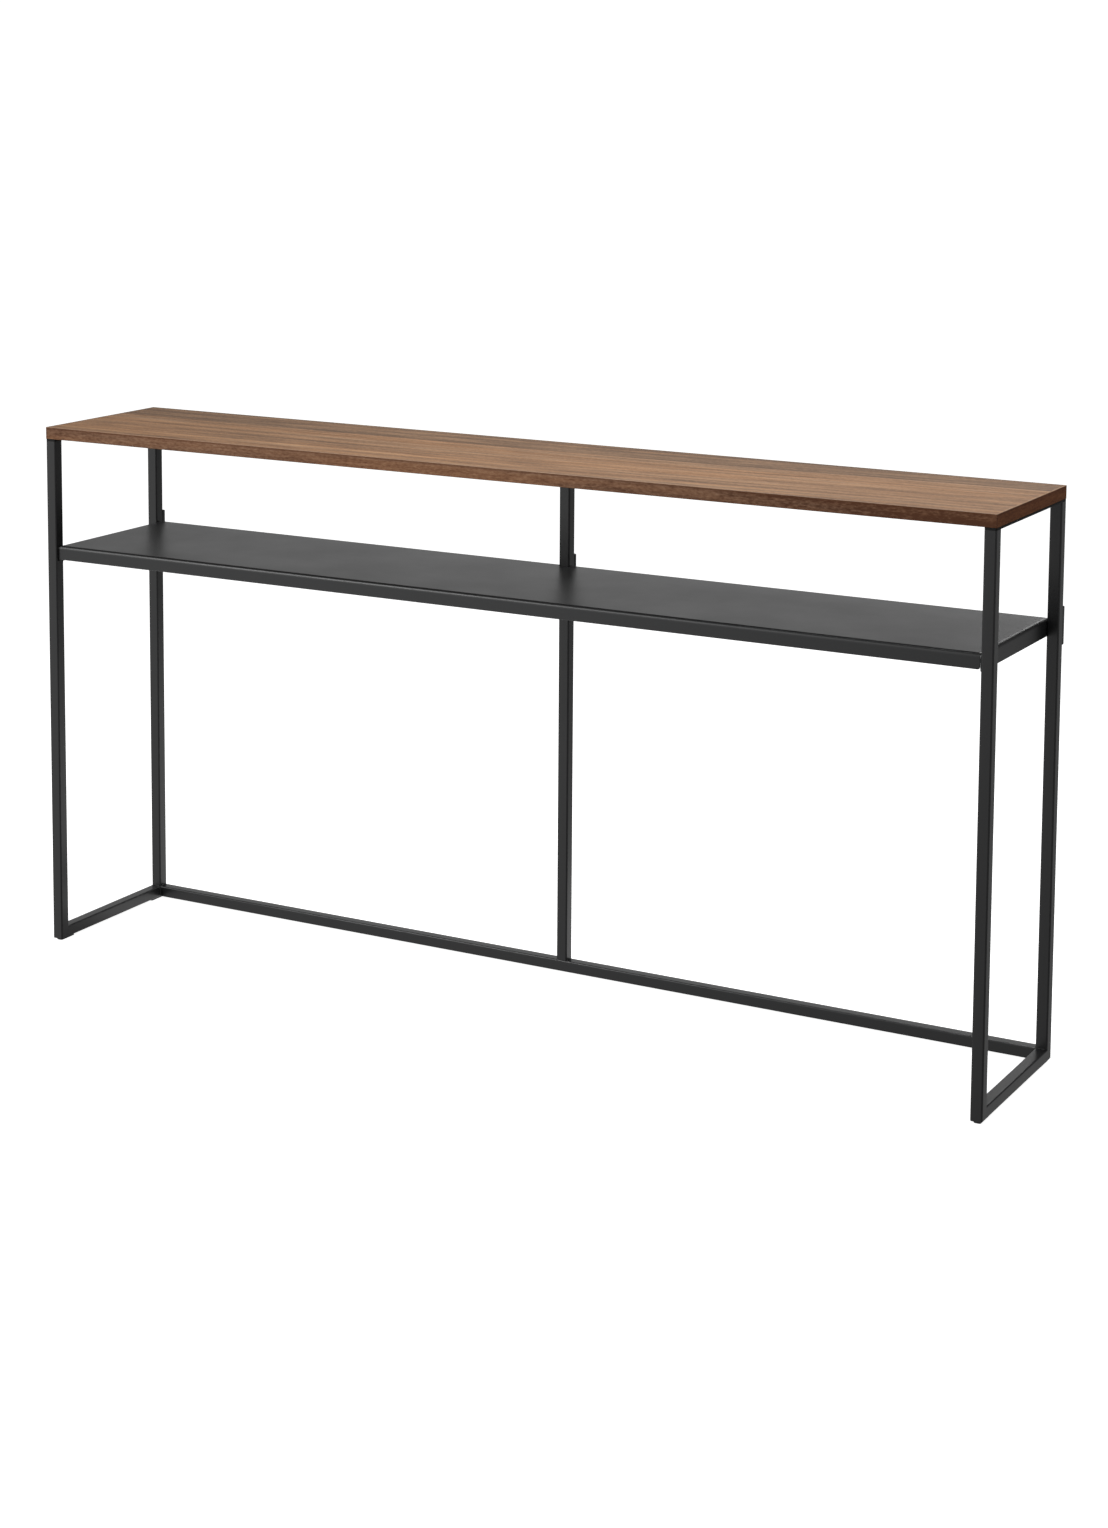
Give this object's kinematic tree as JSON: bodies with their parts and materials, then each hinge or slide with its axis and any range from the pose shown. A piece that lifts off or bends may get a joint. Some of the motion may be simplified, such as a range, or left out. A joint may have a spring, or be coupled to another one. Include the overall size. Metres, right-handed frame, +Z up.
{
  "type": "console table",
  "caption": "Narrow console table: wood-effect top on a black square-tube frame, with a full-length folded steel shelf below the top and a centre post at the back.",
  "frame": {"origin": "on the floor, under the middle of the bounding box", "axes": "+X along the table to the right as seen from the front, +Y from the front to the back (the wall side), +Z up"},
  "size_m": [1.42, 0.257, 0.75],
  "materials": {
    "walnut_decor": "satin walnut-effect decor with fine straight grain along the length",
    "walnut_edge": "satin walnut-effect edge band, darker than the top",
    "chipboard": "raw chipboard, hidden",
    "backing_sheet": "matte brown backing sheet",
    "black_steel": "satin black powder coat with a fine grain",
    "screw_steel": "black zinc-plated screws",
    "black_plastic": "matte black moulded plastic"
  },
  "bodies": {
    "root": {"tabletop_decor": "walnut_decor", "front_edge_band": "walnut_edge", "back_edge_band": "walnut_edge", "left_edge_band": "walnut_edge", "right_edge_band": "walnut_edge", "tabletop_core": "chipboard", "tabletop_backing": "backing_sheet", "left_front_leg": "black_steel", "left_back_leg": "black_steel", "left_bottom_rail": "black_steel", "left_top_bar": "black_steel", "right_front_leg": "black_steel", "right_back_leg": "black_steel", "right_bottom_rail": "black_steel", "right_top_bar": "black_steel", "back_bottom_rail": "black_steel", "centre_post": "black_steel", "centre_post_top_plate": "black_steel", "left_rear_plate": "black_steel", "centre_rear_plate": "black_steel", "right_rear_plate": "black_steel", "shelf_tray": "black_steel", "left_front_top_screw": "screw_steel", "left_back_top_screw": "screw_steel", "right_front_top_screw": "screw_steel", "right_back_top_screw": "screw_steel", "post_left_top_screw": "screw_steel", "post_right_top_screw": "screw_steel", "left_front_shelf_screw": "screw_steel", "left_back_shelf_screw": "screw_steel", "right_front_shelf_screw": "screw_steel", "right_back_shelf_screw": "screw_steel", "post_shelf_screw": "screw_steel", "left_front_glide": "black_plastic", "left_back_glide": "black_plastic", "right_front_glide": "black_plastic", "right_back_glide": "black_plastic"}
  },
  "joints": []
}
